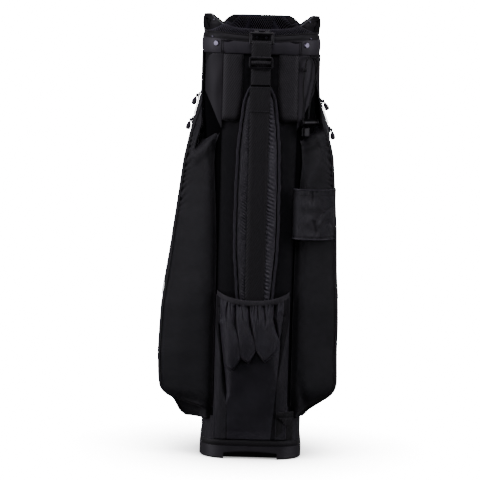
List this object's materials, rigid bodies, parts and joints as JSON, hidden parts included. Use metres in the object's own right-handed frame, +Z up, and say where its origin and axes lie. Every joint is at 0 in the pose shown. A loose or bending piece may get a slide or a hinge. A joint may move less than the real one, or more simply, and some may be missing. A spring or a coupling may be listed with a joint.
{
  "type": "golf cart bag",
  "caption": "Upright golf cart bag with a moulded cuff and lift handles, club dividers, zipped pockets, a padded strap tucked in a gathered pocket and a moulded base.",
  "frame": {"origin": "middle of the base's flat underside, on the floor", "axes": "+Z up the bag, -Y towards the strap side, +X to the right of a viewer who faces the strap"},
  "size_m": [0.3568, 0.3524, 0.876],
  "materials": {
    "base_plastic": "satin moulded",
    "cuff_plastic": "gloss moulded",
    "shell_fabric": "coated nylon",
    "lining": "thin nylon",
    "air_mesh": "open spacer mesh",
    "smooth_trim": "smooth coated trim",
    "webbing": "woven webbing",
    "pad_fabric": "padded nylon and mesh",
    "stay_metal": "plain tube",
    "dark_metal": "satin black",
    "bright_metal": "polished",
    "pull_rubber": "moulded",
    "cord": "braided elastic",
    "gloss_lock": "gloss"
  },
  "bodies": {
    "bag": {"ball_pocket": "shell_fabric", "base_foot": "base_plastic", "cooler_pocket": "shell_fabric", "cord_bell": "gloss_lock", "cord_eyelet": "webbing", "cuff_ring": "cuff_plastic", "divider_bars": "smooth_trim", "divider_sheets": "lining", "front_lift_handle": "cuff_plastic", "front_rim_pad": "air_mesh", "hem_band": "webbing", "keeper_rivets": "bright_metal", "left_back_strip": "webbing", "left_lift_handle": "cuff_plastic", "left_pocket": "shell_fabric", "pocket_elastic": "webbing", "rear_rim_pad": "air_mesh", "right_back_strip": "webbing", "right_lift_handle": "cuff_plastic", "right_pocket": "shell_fabric", "ring_keeper": "cuff_plastic", "snap_studs": "bright_metal", "stash_pocket": "shell_fabric", "stay_rods": "stay_metal", "trunk_back_panel": "shell_fabric", "trunk_front_panel": "shell_fabric", "trunk_left_panel": "shell_fabric", "trunk_right_panel": "shell_fabric", "umbrella_cord_left": "cord", "umbrella_cord_right": "cord", "umbrella_sleeve": "lining", "valuables_pocket": "shell_fabric", "webbing_tab": "webbing", "yoke_band": "smooth_trim", "zip_tapes": "webbing"},
    "strap_upper": {"strap_ring": "dark_metal", "strap_webbing_upper": "webbing", "strap_pad_upper": "pad_fabric"},
    "strap_lower": {"strap_pad_lower": "pad_fabric", "strap_webbing_lower": "webbing"},
    "strap_adjuster": {"strap_buckle": "cuff_plastic", "buckle_fold": "webbing"},
    "cord_lock_barrel": {"cord_lock": "gloss_lock"},
    "cord_lock_button": {"lock_button": "gloss_lock"},
    "left_garment_zip_slider": {"left_garment_zip_slider": "dark_metal"},
    "left_garment_zip_pull": {"left_garment_zip_pull": "pull_rubber"},
    "left_shoe_zip_slider": {"left_shoe_zip_slider": "dark_metal"},
    "left_shoe_zip_pull": {"left_shoe_zip_pull": "pull_rubber"},
    "right_garment_zip_slider": {"right_garment_zip_slider": "dark_metal"},
    "right_garment_zip_pull": {"right_garment_zip_pull": "pull_rubber"},
    "right_shoe_zip_slider": {"right_shoe_zip_slider": "dark_metal"},
    "right_shoe_zip_pull": {"right_shoe_zip_pull": "pull_rubber"},
    "ball_zip_slider": {"ball_zip_slider": "dark_metal"},
    "ball_zip_pull": {"ball_zip_pull": "pull_rubber"},
    "cooler_zip_slider": {"cooler_zip_slider": "dark_metal"},
    "cooler_zip_pull": {"cooler_zip_pull": "pull_rubber"},
    "valuables_zip_slider": {"valuables_zip_slider": "dark_metal"},
    "valuables_zip_pull": {"valuables_zip_pull": "pull_rubber"}
  },
  "joints": [
    {"name": "strap_lift", "type": "hinge", "parent": "bag", "child": "strap_upper", "pos_m": [0, -0.123, 0.843], "axis": [-1, 0, 0], "range_deg": [0, 8]},
    {"name": "strap_fold", "type": "hinge", "parent": "strap_upper", "child": "strap_lower", "pos_m": [0, -0.1126, 0.545], "axis": [-1, 0, 0], "range_deg": [-16, 0]},
    {"name": "adjuster_slide", "type": "slide", "parent": "strap_upper", "child": "strap_adjuster", "axis": [0, 0, 1], "range_m": [-0.022, 0.012]},
    {"name": "cord_lock_slide", "type": "slide", "parent": "bag", "child": "cord_lock_barrel", "axis": [0, 0, 1], "range_m": [0, 0.012]},
    {"name": "cord_lock_press", "type": "slide", "parent": "cord_lock_barrel", "child": "cord_lock_button", "axis": [-0.8192, -0.5735, 0], "range_m": [0, 0.003], "stiffness_N_per_m": 400},
    {"name": "left_garment_zip_slide", "type": "slide", "parent": "bag", "child": "left_garment_zip_slider", "axis": [0.1502, 0, 0.9887], "range_m": [-0.3442, 0]},
    {"name": "left_garment_zip_pull_swing", "type": "hinge", "parent": "left_garment_zip_slider", "child": "left_garment_zip_pull", "pos_m": [-0.1369, 0.008, 0.66326], "axis": [0, 1, 0], "range_deg": [-1, 127]},
    {"name": "left_shoe_zip_slide", "type": "slide", "parent": "bag", "child": "left_shoe_zip_slider", "axis": [0.2516, 0, 0.9678], "range_m": [-0.0278, 0]},
    {"name": "left_shoe_zip_pull_swing", "type": "hinge", "parent": "left_shoe_zip_slider", "child": "left_shoe_zip_pull", "pos_m": [-0.12477, -0.012, 0.71405], "axis": [0, 1, 0], "range_deg": [-1, 127]},
    {"name": "right_garment_zip_slide", "type": "slide", "parent": "bag", "child": "right_garment_zip_slider", "axis": [-0.083, 0, 0.9965], "range_m": [-0.3297, 0]},
    {"name": "right_garment_zip_pull_swing", "type": "hinge", "parent": "right_garment_zip_slider", "child": "right_garment_zip_pull", "pos_m": [0.14479, 0.008, 0.65081], "axis": [0, -1, 0], "range_deg": [-1, 127]},
    {"name": "right_shoe_zip_slide", "type": "slide", "parent": "bag", "child": "right_shoe_zip_slider", "axis": [-0.3511, 0, 0.9363], "range_m": [-0.0353, 0]},
    {"name": "right_shoe_zip_pull_swing", "type": "hinge", "parent": "right_shoe_zip_slider", "child": "right_shoe_zip_pull", "pos_m": [0.12609, -0.012, 0.70884], "axis": [0, -1, 0], "range_deg": [-1, 127]},
    {"name": "ball_zip_slide", "type": "slide", "parent": "bag", "child": "ball_zip_slider", "axis": [1, 0, 0], "range_m": [-0.112, 0]},
    {"name": "ball_zip_pull_swing", "type": "hinge", "parent": "ball_zip_slider", "child": "ball_zip_pull", "pos_m": [0.056, 0.196, 0.269], "axis": [0, 0, -1], "range_deg": [-1, 127]},
    {"name": "cooler_zip_slide", "type": "slide", "parent": "bag", "child": "cooler_zip_slider", "axis": [1, 0, 0], "range_m": [-0.102, 0]},
    {"name": "cooler_zip_pull_swing", "type": "hinge", "parent": "cooler_zip_slider", "child": "cooler_zip_pull", "pos_m": [0.051, 0.174, 0.519], "axis": [0, 0, -1], "range_deg": [-1, 127]},
    {"name": "valuables_zip_slide", "type": "slide", "parent": "bag", "child": "valuables_zip_slider", "axis": [1, 0, 0], "range_m": [-0.09, 0]},
    {"name": "valuables_zip_pull_swing", "type": "hinge", "parent": "valuables_zip_slider", "child": "valuables_zip_pull", "pos_m": [0.045, 0.156, 0.697], "axis": [0, 0, -1], "range_deg": [-1, 127]}
  ],
  "couplings": [
    {"joint": "strap_fold", "follows": "strap_lift", "ratio": -2}
  ]
}
